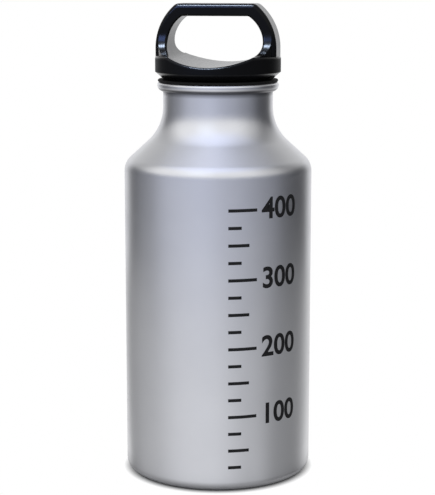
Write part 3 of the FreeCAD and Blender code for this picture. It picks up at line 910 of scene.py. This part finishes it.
# %% [markdown]
# ## Room tones
# Satin metal shows its surroundings, so the room matters as much as the lamps. White paper behind the
# bottle gives the two bright edges, a dim room to the left and right gives the dark bands beside them,
# and a brighter room in front gives the soft middle. A photographer would use cards for this. Here four
# bands round the bottle do it: a floor, a wall, a slope and a ceiling. Each has a few tones, given by
# their angle from the camera's side, and one for what lies behind the bottle. The floor is in shade
# next to the foot. A round wall mirrors what is close to it at a smaller angle, down to half, so near
# the bottle the floor's angles count for more, and the light and dark bands run straight to the foot.
# In front the room is bluish from the sky, and less so towards the sides.

# %% Room tones
BEHIND_FROM = 150
GREEN_SHARE = 0.2
SHADE_END = 52 * MM
FLOOR_HEIGHT = -2 * MM
ROOM = {
    "room_floor": {
        "edges": [(TABLE_RADIUS, FLOOR_HEIGHT), (0.46, FLOOR_HEIGHT)], "blue": 0.04, "behind": 1.0,
        "behind_from": 168, "shade": 0.5, "nearness": BODY_RADIUS / 2 * MM,
        "tones": {-142: 0.36, -97: 0.53, -40: 0.82, -10: 0.82, 45: 0.57, 80: 0.31, 116: 0.27},
    },
    "room_wall": {
        "edges": [(1.2, -0.7), (1.2, 0.47)], "blue": 0.34, "behind": 1.0,
        "tones": {-127: 0.10, -92: 0.24, -60: 0.52, -20: 0.58, 20: 0.39, 60: 0.25, 95: 0.06, 128: 0.07},
    },
    "room_slope": {
        "edges": [(1.2, 0.47), (0.95, 1.25)], "blue": 0.0, "behind": 0.7,
        "tones": {-120: 0.45, -83: 1.1, -10: 1.08, 45: 1.06, 75: 0.66, 105: 0.22},
    },
    "room_ceiling": {
        "edges": [(0.95, 1.25), (0.01, 1.6)], "blue": 0.32, "behind": 0.45,
        "tones": {-105: 0.65, -65: 1.15, -10: 1.15, 30: 1.0, 60: 0.8, 105: 0.40},
    },
}
print("room:", {name: len(band["tones"]) for name, band in ROOM.items()})

# %% [markdown]
# ## Room bands
# Each band is a ring with a colour ramp that runs round the bottle. Only reflections see it: the camera
# looks through it to the paper, and it lights nothing by itself, so it can't wash out the black
# plastic.

# %% Room bands
NEW_RAMP_STOPS = 2


def room_grey(name, tones, behind, blue, behind_from=BEHIND_FROM, shade=1.0, nearness=0.0):
    """A glow whose bluish grey follows the angle round the bottle, counted from the camera's side.

    A nearness of half the bottle's radius widens the angles close to it, up to double.
    """
    grey = bpy.data.materials.new(name)
    grey.use_nodes = True
    tree = grey.node_tree
    tree.nodes.clear()
    split, distance = place_about_axis(tree)
    angle = maths(tree, "ARCTAN2", split["X"], maths(tree, "MULTIPLY", split["Y"], -1.0))
    turn = maths(tree, "WRAP", maths(tree, "SUBTRACT", angle, CAMERA_TURN), math.pi, -math.pi)
    shrink = maths(tree, "SUBTRACT", 1.0, maths(tree, "DIVIDE", nearness, distance))
    turn = maths(tree, "DIVIDE", turn, shrink)
    ramp = put(tree, "ShaderNodeValToRGB", {"Fac": remap(tree, turn, -math.pi, math.pi, 0.0, 1.0)})
    ramp.color_ramp.interpolation = "EASE"
    stops = ramp.color_ramp.elements
    tones = sorted({**tones, -behind_from: behind, behind_from: behind}.items())
    for number, (degrees, tone) in enumerate(tones):
        position = (degrees + 180) / 360
        stop = stops[number] if number < NEW_RAMP_STOPS else stops.new(position)
        stop.position = position
        sky = blue * (1 + math.cos(math.radians(degrees))) / 2
        stop.color = (tone, tone * (1 + GREEN_SHARE * sky), tone * (1 + sky), 1.0)
    strength = remap(tree, distance, TABLE_RADIUS, SHADE_END, shade, 1.0)
    glow = put(tree, "ShaderNodeEmission", {"Color": ramp.outputs["Color"], "Strength": strength})
    put(tree, "ShaderNodeOutputMaterial", {"Surface": glow.outputs[0]})
    return grey


for name, band in ROOM.items():
    side = link(bpy.data.objects.new(name, band_mesh(name, band["edges"])))
    looks = {key: value for key, value in band.items() if key != "edges"}
    side.data.materials.append(room_grey(f"{name}_grey", **looks))
    for ray in ("camera", "diffuse", "transmission", "shadow", "volume_scatter"):
        setattr(side, f"visible_{ray}", False)
    print(f"{name}: {len(side.data.polygons)} faces")

# %% [markdown]
# ## Lamps
# One large softbox to the left of the camera lights everything gently. Glossy black plastic shows its
# form by what it reflects, so two more lamps stand in for the panes of a window: a bright one high up
# and a blue one below it. They are linked to the cap and reach only its reflections, because the room's
# bands already do this for the metal.

# %% Lamps
DAYLIGHT, SKY = (0.65, 0.78, 1.0), (0.25, 0.4, 1.0)
PANE = {"turn": -38, "distance": 0.6, "aim": 0.17, "reflected_by": "cap_handle"}
LAMPS = {
    "key_softbox": {"turn": -26, "distance": 0.9, "aim": 0.09, "rise": 40, "size": (0.42, 0.42),
                    "power": 0.2},
    "upper_pane": {**PANE, "rise": 66, "size": (0.3, 0.1), "power": 14},
    "lower_pane": {**PANE, "rise": 30, "size": (0.3, 0.25), "power": 4, "colour": SKY},
}


def lamp(name, turn, rise, distance, aim, size, power, colour=DAYLIGHT, reflected_by=None):
    """A lamp at an angle from the camera's side and a height angle, facing a height on the axis."""
    light = bpy.data.lights.new(name, "AREA")
    light.shape = "RECTANGLE"
    light.size, light.size_y = size
    light.energy = power
    light.color = colour
    stand = link(bpy.data.objects.new(name, light))
    turn, rise = CAMERA_TURN + math.radians(turn), math.radians(rise)
    stand.location = around(turn, distance * math.cos(rise), aim + distance * math.sin(rise))
    stand.rotation_euler = (math.pi / 2 - rise, 0, turn)
    if reflected_by:
        stand.visible_diffuse = False
        stand.light_linking.receiver_collection = bpy.data.collections.new(f"{name}_seen_by")
        stand.light_linking.receiver_collection.objects.link(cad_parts[reflected_by])
    print(f"{name}: {power} W from {distance} m")


for name, settings in LAMPS.items():
    lamp(name, **settings)

# %% [markdown]
# ## Background
# The paper behind is the world itself: plain white where the camera or a mirror looks. As a light it is
# a little dimmer, and with the softbox it comes to a level at which a colour shows about as it is
# written. The Standard view shows it so.

# %% Background
AMBIENT = 0.9
world = bpy.data.worlds.new("white_paper")
bpy.context.scene.world = world
world.use_nodes = True
tree = world.node_tree
level = remap(tree, seen_directly(tree), 0.0, 1.0, AMBIENT, 1.0)
tree.links.new(level, tree.nodes["Background"].inputs["Strength"])
tree.nodes["Background"].inputs["Color"].default_value = (1.0, 1.0, 1.0, 1.0)
bpy.context.scene.view_settings.view_transform = "Standard"
print(f"ambient light {AMBIENT}")
